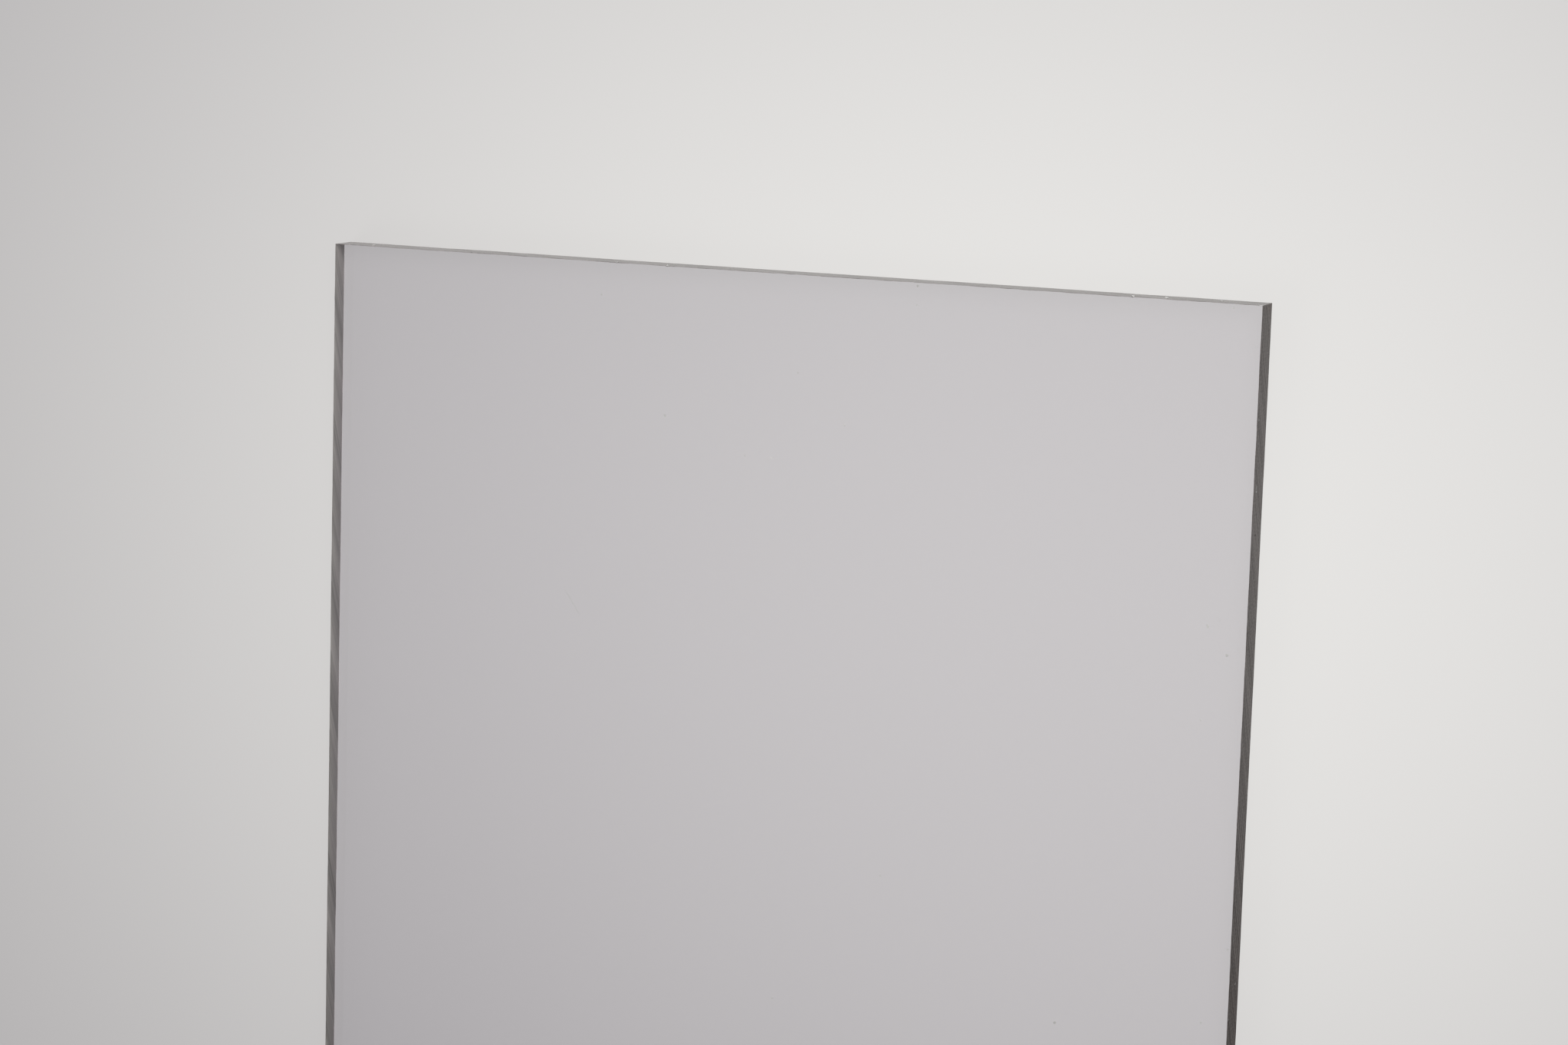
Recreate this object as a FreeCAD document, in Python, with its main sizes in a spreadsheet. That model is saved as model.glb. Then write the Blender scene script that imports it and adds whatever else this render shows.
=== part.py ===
"""Flat polycarbonate sheet, tinted a light grey and sawn to a rectangular format.

One extruded piece: two polished faces, and four square sawn edges whose long
arrises are scraped to take the burr off. It lies flat. +X runs across its
width, +Y along its length and +Z through its thickness, and the origin is the
centre of its underside. Lengths are in millimetres.
"""

import FreeCAD, Part

import os

import Sketcher

# Driving dimensions: alias, value, what it is
SIZES = (
    ("width", 120.0, "across the sheet"),
    ("length", 250.0, "along the sheet"),
    ("thickness", 4.0, "gauge of the stock"),
    ("edge_break", 0.1, "width scraped off each arris round the faces"),
)

NODE = "polycarbonate_sheet"


def make_sizes(doc):
    """Spreadsheet with one named cell for each driving dimension."""
    sizes = doc.addObject("Spreadsheet::Sheet", "Sizes")
    for row, (alias, value, meaning) in enumerate(SIZES, start=1):
        sizes.set(f"A{row}", alias)
        sizes.set(f"B{row}", str(value))
        sizes.set(f"C{row}", meaning)
        sizes.setAlias(f"B{row}", alias)
    doc.recompute()
    return sizes


def origin_plane(body, role):
    """One of the body's own origin planes, found by its role."""
    for feature in body.Origin.OriginFeatures:
        if feature.Role == role:
            return feature
    raise ValueError(f"the body has no origin plane {role}")


def draw_outline(body, sizes):
    """Rectangle centred on the origin, on the plane of the underside."""
    sketch = body.newObject("Sketcher::SketchObject", "Outline")
    sketch.AttachmentSupport = [(origin_plane(body, "XY_Plane"), "")]
    sketch.MapMode = "FlatFace"

    half_width = sizes.width / 2
    half_length = sizes.length / 2
    corners = [
        FreeCAD.Vector(-half_width, -half_length, 0),
        FreeCAD.Vector(half_width, -half_length, 0),
        FreeCAD.Vector(half_width, half_length, 0),
        FreeCAD.Vector(-half_width, half_length, 0),
    ]
    foot, right, head, left = (
        sketch.addGeometry(Part.LineSegment(corners[i], corners[(i + 1) % 4]), False)
        for i in range(4)
    )
    start, end, centre_of_sketch = 1, 2, (-1, 1)
    for first, second in ((foot, right), (right, head), (head, left), (left, foot)):
        sketch.addConstraint(Sketcher.Constraint("Coincident", first, end, second, start))
    for line in (foot, head):
        sketch.addConstraint(Sketcher.Constraint("Horizontal", line))
    for line in (right, left):
        sketch.addConstraint(Sketcher.Constraint("Vertical", line))
    sketch.addConstraint(
        Sketcher.Constraint("Symmetric", foot, start, head, start, *centre_of_sketch)
    )
    across = sketch.addConstraint(
        Sketcher.Constraint("DistanceX", foot, start, foot, end, sizes.width)
    )
    along = sketch.addConstraint(
        Sketcher.Constraint("DistanceY", right, start, right, end, sizes.length)
    )
    sketch.setExpression(f"Constraints[{across}]", "Sizes.width")
    sketch.setExpression(f"Constraints[{along}]", "Sizes.length")
    return sketch


def extrude_sheet(body, sketch):
    """The stock between its two faces."""
    stock = body.newObject("PartDesign::Pad", "Stock")
    stock.Profile = sketch
    stock.setExpression("Length", "Sizes.thickness")
    return stock


def scrape_arrises(doc, body, stock):
    """Breaks the eight long arrises. The four short corner edges stay as sawn."""
    doc.recompute()
    flat = 1e-6
    long_arrises = [
        f"Edge{number}"
        for number, edge in enumerate(stock.Shape.Edges, start=1)
        if edge.BoundBox.ZLength < flat
    ]
    scraped = body.newObject("PartDesign::Chamfer", "ScrapedArrises")
    scraped.Base = (stock, long_arrises)
    scraped.setExpression("Size", "Sizes.edge_break")
    stock.Visibility = False
    return scraped


def make_sheet(doc, sizes):
    body = doc.addObject("PartDesign::Body", "Sheet")
    body.Label = NODE
    sketch = draw_outline(body, sizes)
    stock = extrude_sheet(body, sketch)
    scrape_arrises(doc, body, stock)
    doc.recompute()
    return body


def check(doc, body):
    """Stops the script if a feature failed or the piece isn't one sound solid."""
    for item in doc.Objects:
        if "Invalid" in item.State or "Error" in item.State:
            raise RuntimeError(f"{item.Name} failed: {item.State}")
    shape = body.Shape
    if shape.isNull() or not shape.isValid() or len(shape.Solids) != 1:
        raise RuntimeError(f"{body.Label} isn't one valid solid")


def main():
    doc = FreeCAD.newDocument("PolycarbonateSheet")
    sizes = make_sizes(doc)
    body = make_sheet(doc, sizes)
    check(doc, body)
    os.makedirs("parts", exist_ok=True)
    body.Shape.exportStep(f"parts/{body.Label}.step")
    box = body.Shape.BoundBox
    print(
        f"{body.Label}: {box.XLength:.2f} x {box.YLength:.2f} x {box.ZLength:.2f} mm,"
        f" {body.Shape.Volume:.1f} mm3"
    )


main()
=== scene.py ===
"""Looks of a flat polycarbonate sheet that lies on a pale floor.

The sheet is clear with a light grey tint. Its two faces are polished, and its
four edges are as a circular saw left them, with the burr scraped off the long
arrises. Lengths are in metres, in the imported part's own frame: +X across the
sheet, +Y along it, +Z up, and the origin at the centre of its underside.
"""

import math
import random

import bmesh
import bpy
import numpy as np
from mathutils import Matrix, Vector
from mathutils.geometry import delaunay_2d_cdt


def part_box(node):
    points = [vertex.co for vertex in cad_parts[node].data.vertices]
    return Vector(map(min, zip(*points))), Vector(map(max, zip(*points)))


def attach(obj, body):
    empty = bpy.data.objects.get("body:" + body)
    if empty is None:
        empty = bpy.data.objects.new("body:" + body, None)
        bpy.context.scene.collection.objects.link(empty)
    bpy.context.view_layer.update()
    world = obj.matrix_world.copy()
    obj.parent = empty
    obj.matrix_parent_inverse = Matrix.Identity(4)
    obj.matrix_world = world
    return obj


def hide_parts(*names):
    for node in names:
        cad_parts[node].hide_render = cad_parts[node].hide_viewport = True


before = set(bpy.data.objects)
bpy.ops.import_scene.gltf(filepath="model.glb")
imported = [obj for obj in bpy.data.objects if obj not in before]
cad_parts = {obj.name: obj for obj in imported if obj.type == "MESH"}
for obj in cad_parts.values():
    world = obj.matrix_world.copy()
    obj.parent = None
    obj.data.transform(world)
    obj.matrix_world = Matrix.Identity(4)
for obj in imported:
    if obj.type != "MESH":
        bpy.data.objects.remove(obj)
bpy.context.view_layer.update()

MM = 0.001
X, Y, Z = range(3)
NODE = "polycarbonate_sheet"

# The sheet, from the frame
LOW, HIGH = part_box(NODE)
THICKNESS = HIGH.z - LOW.z

# The photograph, and the camera that took it, with its lens and sensor in millimetres
PHOTO_WIDTH, PHOTO_HEIGHT = 2040, 1360
FOCAL_LENGTH = 87.8
SENSOR_WIDTH = 36.0
CAMERA_DISTANCE = 461.0 * MM
CAMERA_TO_THE_RIGHT = math.radians(22.32)
CAMERA_TO_THE_HEAD = math.radians(8.71)
CAMERA_ROLL = math.radians(1.757)
AIM_RIGHT_OF_MIDDLE = 1.98 * MM
AIM_BELOW_HEAD_EDGE = 30.04 * MM

# How much of the sheet's length the photograph shows, from the head edge
SEEN_LENGTH = 100 * MM

# Polycarbonate: refractive index, and the light that is left after the sheet's thickness
REFRACTIVE_INDEX = 1.585
LIGHT_LEFT = (0.786, 0.772, 0.796)

# Marks of the saw. The higher the blade stands above the underside, the steeper they are.
BLADE_RADIUS = 125 * MM
LOW_BLADE = 15 * MM
HIGH_BLADE = 22 * MM
FEED_MARK_SPACING = 2.6 * MM
FEED_MARK_DEPTH = 0.016 * MM
TOOTH_MARK_SPACING = 0.55 * MM
TOOTH_MARK_DEPTH = 0.006 * MM
WANDER_SPACING = 9 * MM
WANDER_DEPTH = 0.03 * MM

# The scraped arrises: their mean width, and how far apart its random values are along them
SCRAPED = 0.025 * MM
UPPER_SCRAPE_SPACING = 1.1 * MM
LOWER_SCRAPE_SPACING = 1.3 * MM

# How many random values a ragged line has before they repeat
VALUES_BEFORE_REPEAT = 997

# The mesh of the sawn edges. Its columns lean with the saw marks, and grow upright over the
# last stretch before a corner.
COLUMN_SPACING = 0.15 * MM
ROWS_BETWEEN_ARRISES = 6
STRAIGHTENING_LENGTH = 18 * MM

# Rings of points on a face: distance in from the edge, which is also their spacing
FACE_RINGS = (0.4 * MM, 1.4 * MM, 5.0 * MM)

# Specks on the upper face, at their pixels in the photograph: across, down, width, grey
FACE_SPECKS = (
    (1372, 1331, 0.36 * MM, 0.4),
    (1596, 853, 0.36 * MM, 0.5),
    (1194, 372, 0.32 * MM, 0.46),
    (1571, 815, 0.40 * MM, 0.55),
    (865, 541, 0.36 * MM, 0.5),
    (1145, 1140, 0.26 * MM, 0.52),
    (1562, 1331, 0.26 * MM, 0.48),
    (1004, 1299, 0.30 * MM, 0.48),
    (783, 383, 0.26 * MM, 0.5),
    (1099, 553, 0.26 * MM, 0.58),
    (1193, 397, 0.26 * MM, 0.54),
    (1605, 401, 0.26 * MM, 0.55),
    (1038, 485, 0.24 * MM, 0.54),
    (1004, 596, 0.24 * MM, 0.6),
    (1562, 937, 0.24 * MM, 0.57),
    (969, 593, 0.22 * MM, 0.54),
    (1597, 1236, 0.26 * MM, 0.49),
)

# Specks where the photograph doesn't show the face: how many, how far they stay from the
# edges, and the ranges of their widths, in millimetres, and of their greys
UNSEEN_SPECKS = 22
SPECK_MARGIN = 3 * MM
UNSEEN_WIDTHS = (0.2, 0.34)
UNSEEN_GREYS = (0.1, 0.25)

# Length, width and thickness of any speck, as shares of the width given for it
SPECK_SHAPE = (1.1, 0.9, 0.1)

# A faint smear on the upper face: the pixels of its ends, its width, thickness and grey
SMEAR_START, SMEAR_END = (735, 767), (754, 800)
SMEAR_WIDTH, SMEAR_THICKNESS = 0.09 * MM, 0.02 * MM
SMEAR_GREY = 0.5

# Crumbs of plastic on the head edge and the right edge, at their pixels in the photograph:
# across, down, width, height, thickness, grey
HEAD_CRUMBS = (
    (1474.5, 385.1, 0.45 * MM, 0.5 * MM, 0.24 * MM, 0.95),
    (1518, 387.0, 0.50 * MM, 0.5 * MM, 0.22 * MM, 0.94),
    (869, 345.3, 0.40 * MM, 0.5 * MM, 0.26 * MM, 0.8),
    (803, 340.9, 0.40 * MM, 0.5 * MM, 0.2 * MM, 0.8),
    (487, 318.8, 0.50 * MM, 0.5 * MM, 0.16 * MM, 0.8),
    (1589.5, 391.4, 0.50 * MM, 0.3 * MM, 0.12 * MM, 0.75),
    (1636.5, 398.0, 0.70 * MM, 0.3 * MM, 0.1 * MM, 0.92),
    (609, 329, 0.30 * MM, 0.6 * MM, 0.05 * MM, 0.42),
)
RIGHT_CRUMBS = (
    (1638, 547, 0.26 * MM, 0.5 * MM, 0.04 * MM, 0.4),
    (1634.8, 640.3, 0.24 * MM, 0.7 * MM, 0.05 * MM, 0.6),
    (1635.3, 635.5, 0.80 * MM, 0.2 * MM, 0.03 * MM, 0.5),
    (1633.3, 696.7, 0.22 * MM, 0.5 * MM, 0.03 * MM, 0.05),
    (1605.3, 1224.4, 0.26 * MM, 0.5 * MM, 0.04 * MM, 0.25),
    (1607.2, 1280.5, 0.26 * MM, 0.6 * MM, 0.05 * MM, 0.35),
    (1598.3, 1327, 0.24 * MM, 0.6 * MM, 0.05 * MM, 0.22),
)

# Shapes of specks and crumbs: how far their points lie from the middle, as shares of the
# radius, and the seed
FLAKE_RAGGEDNESS = (0.75, 1.15)
FLAKE_SEED = 11


# The camera

def aim_camera():
    """Looks straight down at first, then leans to the sheet's right and towards its head edge."""
    aim = Vector((AIM_RIGHT_OF_MIDDLE, HIGH.y - AIM_BELOW_HEAD_EDGE, HIGH.z))
    lean = (
        Matrix.Rotation(CAMERA_TO_THE_RIGHT, 4, "Y")
        @ Matrix.Rotation(-CAMERA_TO_THE_HEAD, 4, "X")
        @ Matrix.Rotation(CAMERA_ROLL, 4, "Z")
    )
    back = lean @ Vector((0, 0, CAMERA_DISTANCE))
    return Matrix.Translation(aim + back) @ lean


def seen_at(camera_place, across, down, axis, level):
    """The point that the photograph shows at a pixel, on the plane where an axis has a level."""
    focal_pixels = FOCAL_LENGTH / SENSOR_WIDTH * PHOTO_WIDTH
    through = Vector((across - PHOTO_WIDTH / 2, PHOTO_HEIGHT / 2 - down, -focal_pixels))
    way = camera_place.to_3x3() @ through
    start = camera_place.translation
    return start + way * ((level - start[axis]) / way[axis])


def make_camera(camera_place):
    """A camera without depth of field, which sees from 10 mm to 100 m away."""
    data = bpy.data.cameras.new("camera")
    data.lens = FOCAL_LENGTH
    data.sensor_width = SENSOR_WIDTH
    data.clip_start = 10 * MM
    data.clip_end = 100
    camera = bpy.data.objects.new("camera", data)
    bpy.context.scene.collection.objects.link(camera)
    camera.matrix_world = camera_place
    bpy.context.scene.camera = camera


# The sawn edges

def smooth_step(share):
    """Eases a share from 0 to 1."""
    return share * share * (3 - 2 * share)


def ragged(seed, spacing):
    """A smooth random function of a length, from 0 to 1, with a new value at each spacing."""
    draw = random.Random(seed)
    values = np.array([draw.random() for _ in range(VALUES_BEFORE_REPEAT)])

    def at(length):
        place = np.asarray(length) / spacing
        low = np.floor(place).astype(int)
        part = smooth_step(place - low)
        before, after = values[low % len(values)], values[(low + 1) % len(values)]
        return before * (1 - part) + after * part

    return at


class Side:
    """One edge of the sheet: where it starts, its way along and outwards, and how it was sawn.

    Its marks lean along the edge as they rise, or against it where lean is -1.
    """

    def __init__(self, start, along, outward, length, lean, blade_reach, seed):
        self.start = np.array(start)
        self.along = np.array(along)
        self.outward = np.array(outward)
        self.length = length
        self.lean = lean
        self.blade_reach = blade_reach
        # The streaks follow the track, and no two edges share a part of it
        self.first_mark = seed * 10 * MM
        self.wander = ragged(seed, WANDER_SPACING)
        self.feed = ragged(seed + 1, FEED_MARK_SPACING)
        self.tooth = ragged(seed + 2, TOOTH_MARK_SPACING)
        self.upper_scrape = ragged(seed + 3, UPPER_SCRAPE_SPACING)
        self.lower_scrape = ragged(seed + 4, LOWER_SCRAPE_SPACING)

    def blade_arc(self, height):
        """How far along the edge a mark of the blade's rim has come, at a height in the sheet."""
        below_top = self.blade_reach - height
        return -self.lean * np.sqrt(2 * BLADE_RADIUS * below_top - below_top**2)

    def track(self, along, height):
        """Which mark of the saw runs through a point. It is one number all along a mark."""
        return self.first_mark + along - self.blade_arc(height)

    def depth(self, along, height):
        """How far the saw went in past the outermost point of the edge."""
        track = self.track(along, height)
        return (
            WANDER_DEPTH * self.wander(along)
            + FEED_MARK_DEPTH * self.feed(track)
            + TOOTH_MARK_DEPTH * self.tooth(track)
        )

    def scraped(self, along, upper):
        """Width of the scraped arris, from half its mean to one and a half times that."""
        width = self.upper_scrape if upper else self.lower_scrape
        return SCRAPED * (0.5 + width(along))


def make_sides():
    """The four edges, anticlockwise from the foot edge."""
    x, y = HIGH.x, HIGH.y
    across, along = 2 * x, 2 * y
    return (
        Side((-x, -y), (1, 0), (0, -1), across, 1, LOW_BLADE, 110),
        Side((x, -y), (0, 1), (1, 0), along, 1, LOW_BLADE, 220),
        Side((x, y), (-1, 0), (0, 1), across, -1, HIGH_BLADE, 330),
        Side((-x, y), (0, -1), (-1, 0), along, -1, HIGH_BLADE, 440),
    )


def rim_of(side):
    """Place along, depth, height and track of the points of one edge, each in columns by rows."""
    columns = int(round(side.length / COLUMN_SPACING))
    straight = np.linspace(0, side.length, columns + 1)[:, None]
    shares = np.linspace(0, 1, ROWS_BETWEEN_ARRISES + 1)
    nominal = np.concatenate(([0], SCRAPED + shares * (THICKNESS - 2 * SCRAPED), [THICKNESS]))

    from_end = np.minimum(straight, side.length - straight)
    free_to_lean = smooth_step(np.clip(from_end / STRAIGHTENING_LENGTH, 0, 1))
    shear = side.blade_arc(nominal) - side.blade_arc(THICKNESS / 2)
    along = straight + free_to_lean * shear

    lower = side.scraped(along[:, 1], False)
    upper = side.scraped(along[:, -2], True)
    height = np.zeros_like(along)
    height[:, 1:-1] = lower[:, None] + shares * (THICKNESS - upper - lower)[:, None]
    height[:, -1] = THICKNESS
    depth = side.depth(along, height)
    depth[:, 0] += lower
    depth[:, -1] += upper
    return along, depth, height, side.track(along, height)


def sew_rim(sides):
    """Points of the whole rim, in columns by rows from the underside up, with the track at each.

    The last list tells which columns are the sheet's four corners.
    """
    rims = [rim_of(side) for side in sides]
    points, tracks, corners = [], [], []
    for index, side in enumerate(sides):
        along, depth, height, track = rims[index]
        before = rims[index - 1][1][-1]
        after = rims[(index + 1) % len(sides)][1][0]
        along = before + along * (side.length - before - after) / side.length
        flat = side.start + side.along * along[..., None] - side.outward * depth[..., None]
        corners.append(sum(len(p) for p in points))
        points.append(np.dstack((flat, LOW.z + height))[:-1])
        tracks.append(track[:-1])
    return np.concatenate(points), np.concatenate(tracks), corners


def rim_faces(columns, rows):
    """Faces with four corners between the points of the rim, whose last column meets its first."""
    faces = []
    for column in range(columns):
        here = column * rows
        beside = (column + 1) % columns * rows
        for row in range(rows - 1):
            faces.append([here + row, beside + row, beside + row + 1, here + row + 1])
    return faces


# The polished faces

def ring_points(inset):
    """Points round a face, a distance in from its edge and about as far apart."""
    x, y = HIGH.x - inset, HIGH.y - inset
    corners = [Vector((-x, -y)), Vector((x, -y)), Vector((x, y)), Vector((-x, y))]
    points = []
    for first, second in zip(corners, corners[1:] + corners[:1]):
        steps = int(round((second - first).length / inset))
        points += [first.lerp(second, step / steps) for step in range(steps)]
    return points


def fill_face(outline):
    """Points within a face, in rings that thin out inwards, and the triangles of the whole face."""
    points = [Vector(p[:2]) for p in outline]
    count = len(points)
    border = [(i, (i + 1) % count) for i in range(count)]
    for inset in FACE_RINGS:
        points += ring_points(inset)
    in_millimetres = [p / MM for p in points]
    inside_the_border = 1
    same_point = 1e-7
    _, _, triangles, origins, _, _ = delaunay_2d_cdt(
        in_millimetres, border, [], inside_the_border, same_point
    )
    return points[count:], [[origins[v][0] for v in t] for t in triangles]


def add_face(vertices, faces, outline_ids, height, up):
    """Adds one polished face to the lists, joined to the rim's own vertices."""
    inner, triangles = fill_face([vertices[i] for i in outline_ids])
    ids = list(outline_ids) + list(range(len(vertices), len(vertices) + len(inner)))
    vertices += [(p.x, p.y, height) for p in inner]
    for triangle in triangles:
        corners = [ids[v] for v in triangle]
        faces.append(corners if up else corners[::-1])


# Dust and crumbs

def make_flake(place, turn, size, draw):
    """A closed flat flake: vertices and faces. Its size is along the columns of the turn."""
    shape = bmesh.new()
    bmesh.ops.create_icosphere(shape, subdivisions=2, radius=0.5)
    for vertex in shape.verts:
        vertex.co *= draw.uniform(*FLAKE_RAGGEDNESS)
        vertex.co *= Vector(size)
    vertices = [tuple(turn @ v.co + place) for v in shape.verts]
    faces = [[v.index for v in f.verts] for f in shape.faces]
    shape.free()
    return vertices, faces


def specks_on_face(camera_place, draw):
    """Place, turn, size and grey of the specks on the upper face."""
    specks = [
        (seen_at(camera_place, across, down, Z, HIGH.z), width, grey)
        for across, down, width, grey in FACE_SPECKS
    ]
    for _ in range(UNSEEN_SPECKS):
        x = draw.uniform(LOW.x + SPECK_MARGIN, HIGH.x - SPECK_MARGIN)
        y = draw.uniform(LOW.y + SPECK_MARGIN, HIGH.y - SEEN_LENGTH)
        width = draw.uniform(*UNSEEN_WIDTHS) * MM
        specks.append((Vector((x, y, HIGH.z)), width, draw.uniform(*UNSEEN_GREYS)))
    flakes = []
    for place, width, grey in specks:
        turn = Matrix.Rotation(draw.uniform(0, math.tau), 3, "Z")
        flakes.append((place, turn, [share * width for share in SPECK_SHAPE], grey))
    return flakes


def smear_on_face(camera_place):
    """Place, turn, size and grey of the smear on the upper face."""
    start = seen_at(camera_place, *SMEAR_START, Z, HIGH.z)
    end = seen_at(camera_place, *SMEAR_END, Z, HIGH.z)
    way = end - start
    turn = Matrix.Rotation(math.atan2(way.y, way.x), 3, "Z")
    return (start + end) / 2, turn, (way.length, SMEAR_WIDTH, SMEAR_THICKNESS), SMEAR_GREY


def crumbs_on_edge(camera_place, side, axis, level, crumbs):
    """Place, turn, size and grey of the crumbs on one edge, where an axis has one level."""
    along, outward = Vector((*side.along, 0)), Vector((*side.outward, 0))
    turn = Matrix((along, outward, Vector((0, 0, 1)))).transposed()
    flakes = []
    for across, down, width, tall, thick, grey in crumbs:
        place = seen_at(camera_place, across, down, axis, level)
        place.z = min(max(place.z, LOW.z + tall / 2), HIGH.z - tall / 2)
        from_start = (place - Vector((*side.start, 0))).dot(along)
        place -= outward * side.depth(from_start, place.z - LOW.z)
        flakes.append((place, turn, (width, thick, tall), grey))
    return flakes


def all_flakes(camera_place, sides, draw):
    """Place, turn, size and grey of every speck, smear and crumb on the sheet."""
    _, right, head, _ = sides
    return (
        specks_on_face(camera_place, draw)
        + [smear_on_face(camera_place)]
        + crumbs_on_edge(camera_place, head, Y, HIGH.y, HEAD_CRUMBS)
        + crumbs_on_edge(camera_place, right, X, HIGH.x, RIGHT_CRUMBS)
    )


# The sheet's mesh

FACE_SLOT, EDGE_SLOT, DUST_SLOT = range(3)


def make_sheet(camera_place, materials):
    """One mesh of the rim, the two faces and the flakes, with materials in the order of the slots."""
    sides = make_sides()
    points, tracks, corners = sew_rim(sides)
    columns, rows = points.shape[:2]
    vertices = [tuple(p) for p in points.reshape(-1, 3)]
    faces = rim_faces(columns, rows)
    rim_count = len(faces)
    add_face(vertices, faces, range(rows - 1, columns * rows, rows), HIGH.z, True)
    add_face(vertices, faces, range(0, columns * rows, rows), LOW.z, False)
    slots = [EDGE_SLOT] * rim_count + [FACE_SLOT] * (len(faces) - rim_count)

    draw = random.Random(FLAKE_SEED)
    greys = [0.0] * len(vertices)
    for *where, grey in all_flakes(camera_place, sides, draw):
        flake, flake_faces = make_flake(*where, draw)
        first = len(vertices)
        vertices += flake
        faces += [[first + v for v in f] for f in flake_faces]
        greys += [grey] * len(flake)
    slots += [DUST_SLOT] * (len(faces) - len(slots))

    mesh = bpy.data.meshes.new("sheet")
    mesh.from_pydata(vertices, [], faces)
    for material in materials:
        mesh.materials.append(material)
    mesh.polygons.foreach_set("material_index", slots)
    mesh.polygons.foreach_set("use_smooth", [index < rim_count for index in range(len(faces))])
    tracks_of_all = np.zeros(len(vertices))
    tracks_of_all[: tracks.size] = tracks.ravel()
    store(mesh, "saw_track", tracks_of_all)
    store(mesh, "dust_grey", greys)
    mark_sharp(mesh, columns, rows, corners)
    mesh.update()
    mesh.validate()

    sheet = bpy.data.objects.new("sheet", mesh)
    bpy.context.scene.collection.objects.link(sheet)
    return sheet


def store(mesh, name, values):
    """Keeps one number for each vertex, which a material can read."""
    numbers = mesh.attributes.new(name, "FLOAT", "POINT")
    numbers.data.foreach_set("value", np.array(values, np.float32))


def mark_sharp(mesh, columns, rows, corners):
    """Creases the arrises and the four corners, which are crisp."""
    sharp_rows = {0, 1, rows - 2, rows - 1}
    sharp = mesh.attributes.new("sharp_edge", "BOOLEAN", "EDGE")
    rim = columns * rows
    flags = []
    for edge in mesh.edges:
        a, b = edge.vertices
        on_rim = a < rim and b < rim
        same_row = on_rim and a % rows == b % rows and a % rows in sharp_rows
        same_corner = on_rim and a // rows == b // rows and a // rows in corners
        flags.append(same_row or same_corner)
    sharp.data.foreach_set("value", flags)


# Nodes of materials

def new_material(name):
    """A material whose only node is its output."""
    material = bpy.data.materials.new(name)
    material.use_nodes = True
    tree = material.node_tree
    tree.nodes.clear()
    return material, tree, tree.nodes.new("ShaderNodeOutputMaterial")


def put_in(tree, value, socket):
    """Links a node's output to a socket, or sets the socket to a number or a colour."""
    if isinstance(value, bpy.types.NodeSocket):
        tree.links.new(value, socket)
    else:
        socket.default_value = value


def math_of(tree, operation, *values):
    """What a Math node makes of numbers and of the outputs of nodes."""
    node = tree.nodes.new("ShaderNodeMath")
    node.operation = operation
    for value, socket in zip(values, node.inputs):
        put_in(tree, value, socket)
    return node.outputs["Value"]


def sum_of(tree, first, second):
    """The sum of the outputs of two nodes."""
    return math_of(tree, "ADD", first, second)


def larger_of(tree, first, second):
    """The larger of the outputs of two nodes."""
    return math_of(tree, "MAXIMUM", first, second)


def parts_of(tree, vector):
    """The outputs with the x, the y and the z of a vector."""
    node = tree.nodes.new("ShaderNodeSeparateXYZ")
    tree.links.new(vector, node.inputs["Vector"])
    return node.outputs["X"], node.outputs["Y"], node.outputs["Z"]


def ramp(tree, value, start, end, first, last):
    """Goes from first to last as a value goes from start to end, and no further."""
    node = tree.nodes.new("ShaderNodeMapRange")
    node.inputs["From Min"].default_value = start
    node.inputs["From Max"].default_value = end
    node.inputs["To Min"].default_value = first
    node.inputs["To Max"].default_value = last
    tree.links.new(value, node.inputs["Value"])
    return node.outputs["Result"]


def noise_of(tree, vector, scale, detail, dimensions="3D", fine_share=0.5):
    """Noise with a number of features to the metre, and with finer ones on them for its detail."""
    noise = tree.nodes.new("ShaderNodeTexNoise")
    noise.noise_dimensions = dimensions
    noise.inputs["Scale"].default_value = scale
    noise.inputs["Detail"].default_value = detail
    noise.inputs["Roughness"].default_value = fine_share
    tree.links.new(vector, noise.inputs["W" if dimensions == "1D" else "Vector"])
    return noise.outputs["Fac"]


def streaks_of(tree, track, scale, detail, fine_share=0.5):
    """Noise that is the same all along a mark of the saw."""
    return noise_of(tree, track, scale, detail, "1D", fine_share)


def ranged(tree, noise, low, high):
    """Maps the middle of a noise's range, where nearly all of it is, to low and high."""
    return ramp(tree, noise, start=0.3, end=0.7, first=low, last=high)


def attribute(tree, name):
    """A number that the mesh keeps for each vertex."""
    node = tree.nodes.new("ShaderNodeAttribute")
    node.attribute_name = name
    return node.outputs["Fac"]


def mixed_colour(tree, factor, first, second):
    """Goes from the first colour to the second as a factor goes from 0 to 1."""
    node = tree.nodes.new("ShaderNodeMix")
    node.data_type = "RGBA"
    put_in(tree, factor, node.inputs["Factor"])
    put_in(tree, first, node.inputs["A"])
    put_in(tree, second, node.inputs["B"])
    return node.outputs["Result"]


def mixed_shader(tree, factor, first, second):
    """Goes from the first shader to the second as a factor goes from 0 to 1."""
    node = tree.nodes.new("ShaderNodeMixShader")
    tree.links.new(factor, node.inputs["Fac"])
    tree.links.new(first, node.inputs[1])
    tree.links.new(second, node.inputs[2])
    return node.outputs["Shader"]


# Materials of the sheet

# What a polished face leaves of the light that goes straight through it to a matt surface
FACE_PASSES = (0.95, 0.95, 0.95, 1)

# Distances from the head edge over which painted shade darkens the sawn edges, and over
# which it then lifts part of the way
PAINTED_SHADE_FROM, PAINTED_SHADE_TO = 20 * MM, SEEN_LENGTH
SHADE_LIFTS_FROM, SHADE_LIFTS_TO = 108 * MM, 170 * MM
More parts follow.
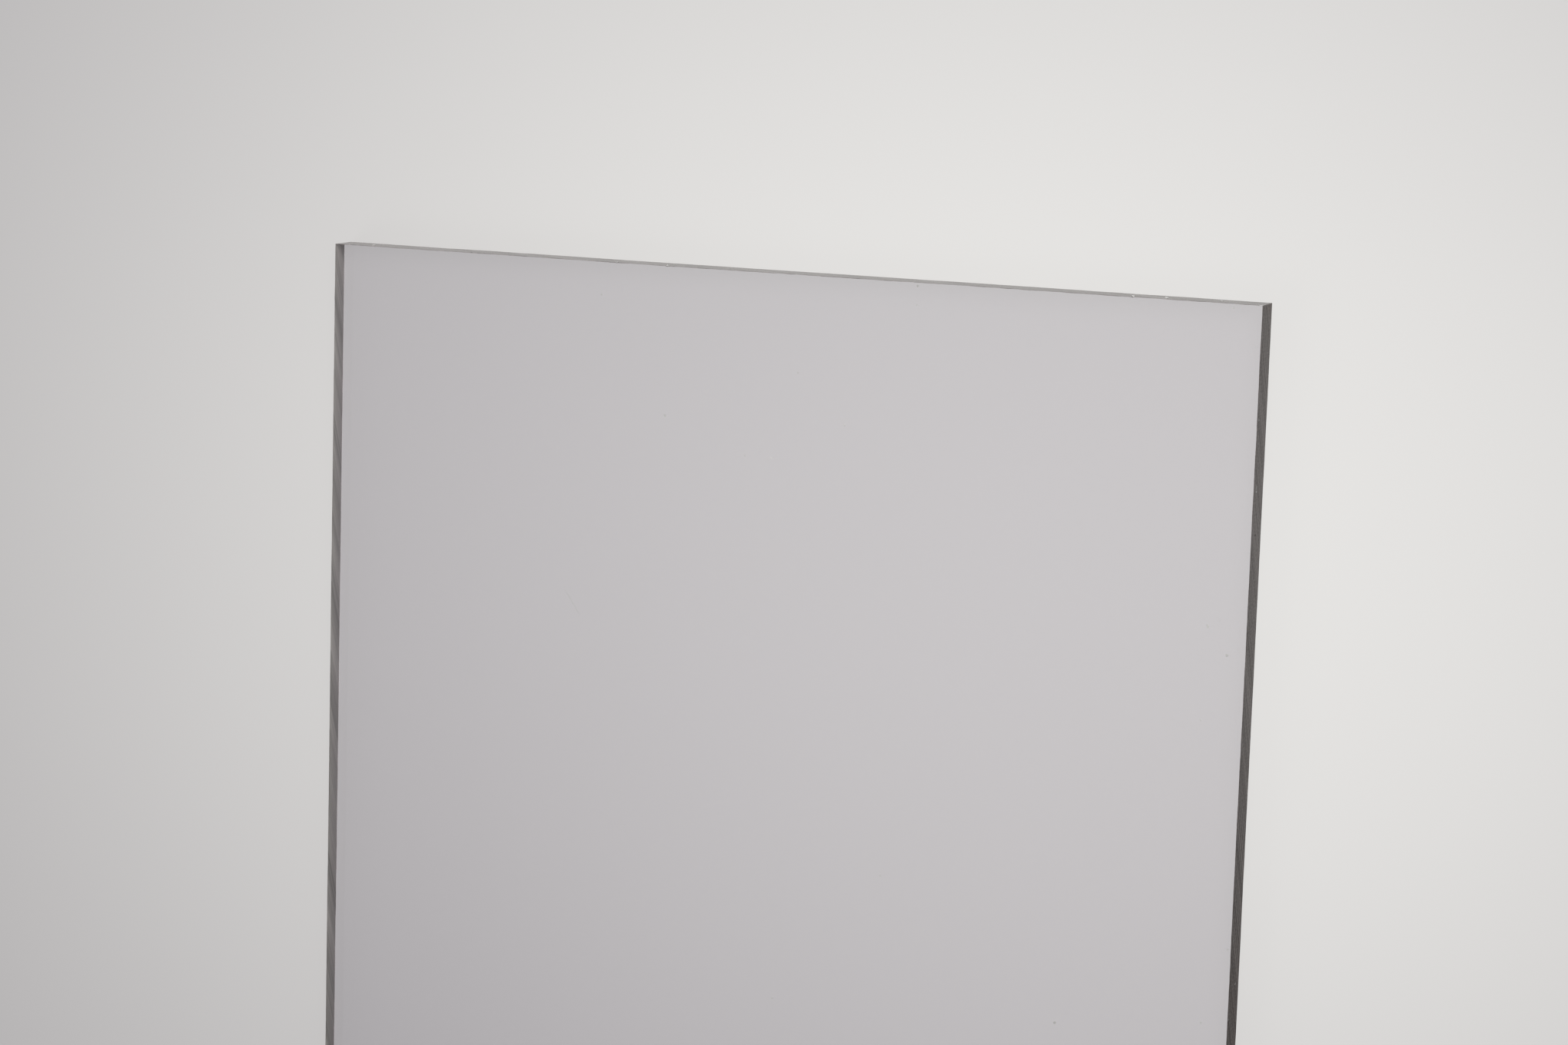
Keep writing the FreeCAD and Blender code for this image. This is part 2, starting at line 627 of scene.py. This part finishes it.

# The outside of the sawn edges, from tone 0 to tone 1, and tone 1 of the head edge, which is
# painted paler than the others as painted light, and a little paler at its left
OUTER_DARK = (0.06, 0.049, 0.045, 1)
OUTER_PALE = (0.28, 0.248, 0.235, 1)
HEAD_PAINTED_LIGHT_AT_LEFT = (0.39, 0.335, 0.32, 1)
HEAD_PAINTED_LIGHT_AT_RIGHT = (0.27, 0.225, 0.205, 1)

# The sawn edges as they show from inside the sheet, from tone 0 to tone 1: painted light,
# paler than outside, for the light that a sawn edge turns back into the sheet
INNER_PAINTED_LIGHT_DARK = (0.1, 0.094, 0.087, 1)
INNER_PAINTED_LIGHT_PALE = (0.99, 0.935, 0.875, 1)

# Dust and crumbs, from grey 0 to grey 1
DUST_DARK = (0.01, 0.005, 0, 1)
DUST_PALE = (1, 0.99, 0.97, 1)


def polished_face_material():
    """Clear tinted plastic with a faint unevenness of its polish. It lets lamps through."""
    material, tree, output = new_material("polished_faces")
    place = tree.nodes.new("ShaderNodeTexCoord").outputs["Object"]

    plastic = tree.nodes.new("ShaderNodeBsdfPrincipled")
    plastic.inputs["Base Color"].default_value = (1, 1, 1, 1)
    plastic.inputs["Transmission Weight"].default_value = 1
    plastic.inputs["IOR"].default_value = REFRACTIVE_INDEX
    haze = ranged(tree, noise_of(tree, place, scale=35, detail=3), low=0.035, high=0.055)
    tree.links.new(haze, plastic.inputs["Roughness"])

    rays = tree.nodes.new("ShaderNodeLightPath").outputs
    passes = larger_of(tree, rays["Is Shadow Ray"], rays["Is Diffuse Ray"])
    clear = tree.nodes.new("ShaderNodeBsdfTransparent")
    clear.inputs["Color"].default_value = FACE_PASSES
    surface = mixed_shader(tree, passes, plastic.outputs["BSDF"], clear.outputs["BSDF"])
    tree.links.new(surface, output.inputs["Surface"])

    # For each metre the node takes its density times what its colour lacks of white. So the
    # tint is the same with any density above the most that is taken.
    taken = [-math.log(share) / THICKNESS for share in LIGHT_LEFT]
    density = 4 * max(taken)
    tint = tree.nodes.new("ShaderNodeVolumeAbsorption")
    tint.inputs["Color"].default_value = (*[1 - t / density for t in taken], 1)
    tint.inputs["Density"].default_value = density
    tree.links.new(tint.outputs["Volume"], output.inputs["Volume"])
    return material


def painted_shade_stretch(tree, y, first, last):
    """Goes from first to last over the stretch where painted shade darkens the sawn edges."""
    return ramp(tree, y, HIGH.y - PAINTED_SHADE_FROM, HIGH.y - PAINTED_SHADE_TO, first, last)


def with_painted_shade(tree, tone, y, first, last, back):
    """Adds painted shade to a tone: from first to last where it darkens the edges, and up to back
    after that, where it lifts.
    """
    shade_lifting = ramp(tree, y, HIGH.y - SHADE_LIFTS_FROM, HIGH.y - SHADE_LIFTS_TO, first=0, last=back)
    return sum_of(tree, sum_of(tree, tone, painted_shade_stretch(tree, y, first, last)), shade_lifting)


def sawn_colour_and_painted_light(tree, track, place):
    """Dark and streaked along the marks of the saw, paler towards the underside, with painted
    shade that makes the edges darkest at SEEN_LENGTH from the head edge.

    The head edge is painted paler than the others, as painted light, and a little paler at its
    left. Seen from inside, through a face, an edge is painted paler still: painted light for
    the light that a sawn edge turns back into the sheet.
    """
    x, y, z = parts_of(tree, place)
    streaks = streaks_of(tree, track, scale=160, detail=6, fine_share=0.75)
    below = ramp(tree, z, LOW.z, HIGH.z, first=0.15, last=-0.08)
    tone = sum_of(tree, ranged(tree, streaks, low=0.37, high=0.91), below)

    tooth_streaks = ranged(tree, streaks_of(tree, track, scale=1300, detail=1), low=-0.32, high=0.32)
    grit = ranged(tree, noise_of(tree, place, scale=3500, detail=1), low=-0.2, high=0.2)
    outer_tone = sum_of(tree, tone, sum_of(tree, tooth_streaks, grit))
    # Painted shade darkens both tones away from the head edge, and lifts part of the way further on
    outer_tone = with_painted_shade(tree, outer_tone, y, first=0, last=-0.42, back=0.3)
    inner_tone = with_painted_shade(tree, tone, y, first=0.02, last=-0.14, back=0.12)

    # Painted light: the head edge is paler than the other edges, a little more at its left
    painted_light_at_head = ramp(tree, y, HIGH.y - 2 * MM, HIGH.y - 0.2 * MM, first=0, last=1)
    to_the_right = ramp(tree, x, LOW.x, HIGH.x, first=0, last=1)
    head = mixed_colour(tree, to_the_right, HEAD_PAINTED_LIGHT_AT_LEFT, HEAD_PAINTED_LIGHT_AT_RIGHT)
    pale = mixed_colour(tree, painted_light_at_head, OUTER_PALE, head)
    outer = mixed_colour(tree, outer_tone, OUTER_DARK, pale)
    # Painted light: the inside of an edge is a paler copy of its outside
    inner = mixed_colour(tree, inner_tone, INNER_PAINTED_LIGHT_DARK, INNER_PAINTED_LIGHT_PALE)
    painted_light_from_inside = tree.nodes.new("ShaderNodeNewGeometry").outputs["Backfacing"]
    return mixed_colour(tree, painted_light_from_inside, outer, inner)


def sawn_edge_material():
    """Sawn plastic, with finer marks and grain than the mesh has, and duller where painted shade
    darkens it.
    """
    material, tree, output = new_material("sawn_edges")
    track = attribute(tree, "saw_track")
    place = tree.nodes.new("ShaderNodeTexCoord").outputs["Object"]

    sawn = tree.nodes.new("ShaderNodeBsdfPrincipled")
    sawn.inputs["IOR"].default_value = REFRACTIVE_INDEX
    sawn.inputs["Specular IOR Level"].default_value = 0.02
    tree.links.new(sawn_colour_and_painted_light(tree, track, place), sawn.inputs["Base Color"])

    marks = ranged(tree, streaks_of(tree, track, scale=1500, detail=3), low=0.04, high=0.1)
    duller = painted_shade_stretch(tree, parts_of(tree, place)[Y], first=0, last=0.45)
    tree.links.new(sum_of(tree, marks, duller), sawn.inputs["Roughness"])

    grain = noise_of(tree, place, scale=9000, detail=2)
    fine_marks = streaks_of(tree, track, scale=3200, detail=3)
    bump = tree.nodes.new("ShaderNodeBump")
    bump.inputs["Strength"].default_value = 0.6
    bump.inputs["Distance"].default_value = 0.01 * MM
    tree.links.new(math_of(tree, "MULTIPLY_ADD", grain, 0.35, fine_marks), bump.inputs["Height"])
    tree.links.new(bump.outputs["Normal"], sawn.inputs["Normal"])
    tree.links.new(sawn.outputs["BSDF"], output.inputs["Surface"])
    return material


def dust_material():
    """Specks of dust and crumbs of plastic, from dark to pale."""
    material, tree, output = new_material("dust")
    speck = tree.nodes.new("ShaderNodeBsdfPrincipled")
    speck.inputs["Roughness"].default_value = 0.9
    colour = mixed_colour(tree, attribute(tree, "dust_grey"), DUST_DARK, DUST_PALE)
    tree.links.new(colour, speck.inputs["Base Color"])
    tree.links.new(speck.outputs["BSDF"], output.inputs["Surface"])
    return material


# The stage

# The floor's own light: the middle of its pool, how wide the pool is each way, and its tones
GLOW_CENTRE = (34 * MM, HIGH.y - 24 * MM, 0)
GLOW_SPREAD = (115 * MM, 94 * MM, 1)
GLOW_BRIGHT = (0.686, 0.677, 0.662, 1)
GLOW_DIM = (0.231, 0.219, 0.229, 1)

# The floor: its colour, half its width, and how far it lies below the sheet
FLOOR_COLOUR = (0.12, 0.118, 0.117, 1)
FLOOR_REACH = 6.0
FLOOR_GAP = 0.1 * MM

# The world's light
WORLD_LIGHT = (0.3, 0.3, 0.3, 1)

# The backdrop that gloss shows: its tones, and the x of a ray's direction where the left tone
# ends and where the right tone starts
BACKDROP_LEFT = (0.285, 0.3, 0.308, 1)
BACKDROP_RIGHT = (0.86, 0.84, 0.83, 1)
BACKDROP_LEFT_ENDS, BACKDROP_RIGHT_STARTS = -0.6, -0.15

# What the camera sees past the floor
BEHIND_THE_FLOOR = (0.26, 0.25, 0.255, 1)

# Lamps: name, place, width and power in watts
LAMPS = (
    ("key", (0.33, 0.5, 1.15), 0.9, 11.5),
    ("fill", (-0.9, -0.6, 0.8), 0.8, 4),
)


def pale_rays(tree):
    """1 for rays that show the background: to the camera, off gloss and through clear plastic."""
    rays = tree.nodes.new("ShaderNodeLightPath").outputs
    direct = larger_of(tree, rays["Is Camera Ray"], rays["Is Glossy Ray"])
    return larger_of(tree, direct, rays["Is Transmission Ray"])


def glow_colour(tree):
    """A pool of light that fades from its centre as a bell curve does."""
    place = tree.nodes.new("ShaderNodeTexCoord").outputs["Object"]
    away = tree.nodes.new("ShaderNodeMapping")
    away.vector_type = "TEXTURE"
    away.inputs["Location"].default_value = GLOW_CENTRE
    away.inputs["Scale"].default_value = GLOW_SPREAD
    tree.links.new(place, away.inputs["Vector"])
    square = tree.nodes.new("ShaderNodeVectorMath")
    square.operation = "DOT_PRODUCT"
    tree.links.new(away.outputs["Vector"], square.inputs[0])
    tree.links.new(away.outputs["Vector"], square.inputs[1])
    halved = math_of(tree, "MULTIPLY", square.outputs["Value"], -0.5)
    return mixed_colour(tree, math_of(tree, "EXPONENT", halved), GLOW_DIM, GLOW_BRIGHT)


def floor_material():
    """A pale floor, which takes the sheet's shadow and has some light of its own."""
    material, tree, output = new_material("floor")
    matt = tree.nodes.new("ShaderNodeBsdfDiffuse")
    matt.inputs["Color"].default_value = FLOOR_COLOUR
    glow = tree.nodes.new("ShaderNodeEmission")
    tree.links.new(glow_colour(tree), glow.inputs["Color"])
    tree.links.new(pale_rays(tree), glow.inputs["Strength"])
    both = tree.nodes.new("ShaderNodeAddShader")
    tree.links.new(matt.outputs["BSDF"], both.inputs[0])
    tree.links.new(glow.outputs["Emission"], both.inputs[1])
    tree.links.new(both.outputs["Shader"], output.inputs["Surface"])
    return material


def make_floor():
    """A square floor just below the sheet."""
    mesh = bpy.data.meshes.new("floor")
    far = FLOOR_REACH
    corners = [(-far, -far, 0), (far, -far, 0), (far, far, 0), (-far, far, 0)]
    mesh.from_pydata(corners, [], [(0, 1, 2, 3)])
    mesh.materials.append(floor_material())
    floor = bpy.data.objects.new("floor", mesh)
    floor.location.z = LOW.z - FLOOR_GAP
    bpy.context.scene.collection.objects.link(floor)


def background(tree, colour):
    """A background of the world, in one colour or in the colour that a node gives."""
    node = tree.nodes.new("ShaderNodeBackground")
    put_in(tree, colour, node.inputs["Color"])
    return node.outputs["Background"]


def make_world():
    """An even dim light, which the camera sees in the floor's own far tone.

    Gloss shows a backdrop that is dimmer on the sheet's left.
    """
    world = bpy.data.worlds.new("studio")
    world.use_nodes = True
    tree = world.node_tree
    tree.nodes.clear()
    output = tree.nodes.new("ShaderNodeOutputWorld")
    way = parts_of(tree, tree.nodes.new("ShaderNodeTexCoord").outputs["Generated"])
    to_the_right = ramp(tree, way[X], BACKDROP_LEFT_ENDS, BACKDROP_RIGHT_STARTS, first=0, last=1)
    backdrop = mixed_colour(tree, to_the_right, BACKDROP_LEFT, BACKDROP_RIGHT)
    straight = tree.nodes.new("ShaderNodeLightPath").outputs["Is Camera Ray"]
    seen = mixed_colour(tree, straight, backdrop, BEHIND_THE_FLOOR)
    light, picture = background(tree, WORLD_LIGHT), background(tree, seen)
    tree.links.new(mixed_shader(tree, pale_rays(tree), light, picture), output.inputs["Surface"])
    bpy.context.scene.world = world


def add_lamp(name, place, width, power):
    """A square soft lamp that points at the sheet. Gloss doesn't mirror it."""
    data = bpy.data.lights.new(name, "AREA")
    data.size = width
    data.energy = power
    lamp = bpy.data.objects.new(name, data)
    lamp.location = place
    lamp.rotation_euler = (-Vector(place)).to_track_quat("-Z", "Y").to_euler()
    lamp.visible_glossy = False
    bpy.context.scene.collection.objects.link(lamp)


camera_place = aim_camera()
make_camera(camera_place)
sheet = make_sheet(
    camera_place, (polished_face_material(), sawn_edge_material(), dust_material())
)
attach(sheet, "root")
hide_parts(NODE)
make_floor()
make_world()
for lamp in LAMPS:
    add_lamp(*lamp)
bpy.context.scene.view_settings.view_transform = "Standard"
